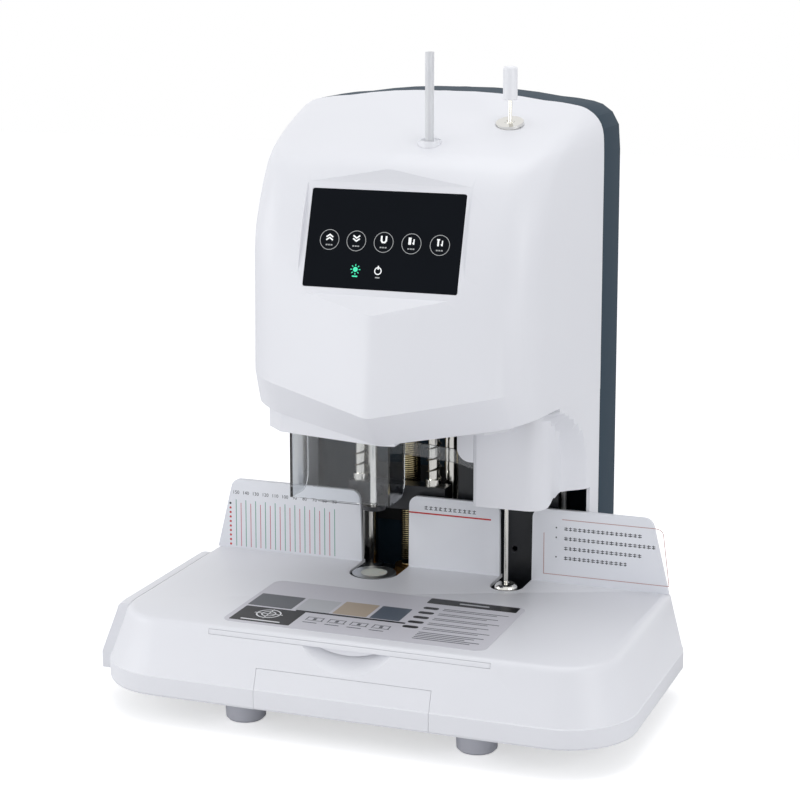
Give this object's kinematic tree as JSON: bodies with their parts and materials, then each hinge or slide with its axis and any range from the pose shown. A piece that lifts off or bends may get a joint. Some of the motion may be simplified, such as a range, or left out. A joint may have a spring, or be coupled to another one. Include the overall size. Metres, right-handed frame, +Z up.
{
  "type": "document riveting machine",
  "caption": "Desk machine that drills through a stack of paper on a drafted table and joins it with hot-pressed tube rivets, with a ruled paper fence and an angular head.",
  "frame": {"origin": "centre of the bounding box's underside, on the desk under the feet", "axes": "+X to the right as the operator sees it, +Y from the operator to the back, +Z up"},
  "size_m": [0.48, 0.321, 0.5618],
  "materials": {
    "white_cover": "satin moulded",
    "slate_cover": "satin moulded",
    "fence_white": "powder coat",
    "zinc_sheet": "zinc plated",
    "foot_rubber": "matte",
    "screw_steel": "plated",
    "frame_paint": "satin",
    "black_paint": "satin",
    "ground_steel": "polished",
    "spring_steel": "bright",
    "screw_bronze": "oiled thread",
    "bronze": "machined",
    "motor_black": "satin",
    "chrome_tool": "polished",
    "alloy": "machined",
    "belt_rubber": "matte",
    "pad_plastic": "matte",
    "handle_plastic": "gloss",
    "tube_nylon": "satin",
    "panel_dark": "gloss",
    "board_green": "solder mask",
    "clear_guard": "clear",
    "black_plastic": "matte",
    "rocker_plastic": "gloss"
  },
  "bodies": {
    "base": {"base_cover": "white_cover", "base_pan": "zinc_sheet", "feet": "foot_rubber", "foot_screws": "screw_steel", "side_cover": "white_cover", "paper_fence": "fence_white", "fence_screws": "screw_steel", "board_rails": "white_cover", "pad_holder": "alloy", "cutting_pad": "pad_plastic", "lower_rivet_head": "chrome_tool", "lower_heater": "alloy", "main_frame": "frame_paint", "drill_columns": "ground_steel", "rivet_columns": "ground_steel", "top_plate": "frame_paint", "column_nuts": "screw_steel", "foot_bearings": "bronze", "head_bearings": "bronze", "drill_lift_motor": "motor_black", "rivet_lift_motor": "motor_black", "rivet_bracket": "frame_paint", "ram_sleeve": "ground_steel", "rear_shield": "black_paint", "rod_escutcheon": "chrome_tool", "tube_collar": "handle_plastic", "front_cover": "white_cover", "chin_cover": "white_cover", "back_cover": "slate_cover", "panel_glass": "panel_dark", "touch_board": "board_green", "drill_guard": "clear_guard", "guard_screws": "screw_steel", "control_board": "board_green", "power_inlet": "black_plastic"},
    "drawer": {"chip_drawer": "white_cover"},
    "board": {"support_board": "white_cover"},
    "drill_lead_screw": {"drill_screw": "screw_bronze"},
    "rivet_lead_screw": {"rivet_screw": "screw_bronze"},
    "drill_slide": {"drill_carriage": "frame_paint", "drill_bushes": "bronze", "drill_nut": "bronze", "spindle_housing": "alloy", "spindle_motor": "motor_black", "drive_belt": "belt_rubber", "presser_springs": "spring_steel"},
    "drill_spindle": {"spindle": "chrome_tool", "hollow_drill": "chrome_tool"},
    "motor_shaft": {"motor_pulley": "alloy"},
    "presser": {"presser_beam": "black_paint", "spring_rods": "ground_steel"},
    "rivet_slide": {"rivet_carriage": "frame_paint", "rivet_bushes": "bronze", "rivet_nut": "bronze", "rivet_ram": "ground_steel", "upper_rivet_head": "chrome_tool"},
    "guide": {"guide_rod": "ground_steel", "rod_handle": "handle_plastic"},
    "tube": {"rivet_tube": "tube_nylon"},
    "rocker": {"rocker_switch": "rocker_plastic"}
  },
  "joints": [
    {"name": "drawer_slide", "type": "slide", "parent": "base", "child": "drawer", "axis": [0, -1, 0], "range_m": [0, 0.19]},
    {"name": "board_slide", "type": "slide", "parent": "base", "child": "board", "axis": [0, -1, 0], "range_m": [0, 0.12]},
    {"name": "drill_screw_turn", "type": "hinge", "parent": "base", "child": "drill_lead_screw", "pos_m": [-0.033, 0.1115, 0.1], "axis": [0, 0, 1], "range_deg": [-2674, 0]},
    {"name": "drill_lift", "type": "slide", "parent": "base", "child": "drill_slide", "axis": [0, 0, 1], "range_m": [-0.0594, 0]},
    {"name": "spindle_turn", "type": "hinge", "parent": "drill_slide", "child": "drill_spindle", "pos_m": [-0.0435, 0.0435, 0.25], "axis": [0, 0, 1], "continuous": true},
    {"name": "motor_turn", "type": "hinge", "parent": "drill_slide", "child": "motor_shaft", "pos_m": [0.009, 0.0575, 0.246], "axis": [0, 0, 1], "continuous": true},
    {"name": "presser_spring", "type": "slide", "parent": "drill_slide", "child": "presser", "axis": [0, 0, 1], "range_m": [0, 0.05], "stiffness_N_per_m": 400, "springref_m": -0.02, "deforming": ["presser_springs"]},
    {"name": "rivet_screw_turn", "type": "hinge", "parent": "base", "child": "rivet_lead_screw", "pos_m": [0.082, 0.1115, 0.1], "axis": [0, 0, 1], "range_deg": [-3782, 0]},
    {"name": "rivet_lift", "type": "slide", "parent": "base", "child": "rivet_slide", "axis": [0, 0, 1], "range_m": [-0.084, 0]},
    {"name": "guide_rod_lift", "type": "slide", "parent": "base", "child": "guide", "axis": [0, 0, 1], "range_m": [0, 0.11]},
    {"name": "rivet_tube_lift", "type": "slide", "parent": "base", "child": "tube", "axis": [0, 0, 1], "range_m": [0, 0.07]},
    {"name": "rocker_tip", "type": "hinge", "parent": "base", "child": "rocker", "pos_m": [0.061, 0.1425, 0.045], "axis": [1, 0, 0], "range_deg": [-22, 0]}
  ],
  "couplings": [
    {"joint": "drill_screw_turn", "follows": "drill_lift", "rad_per_m": 785.4},
    {"joint": "rivet_screw_turn", "follows": "rivet_lift", "rad_per_m": 785.4},
    {"joint": "motor_turn", "follows": "spindle_turn", "ratio": 1}
  ]
}
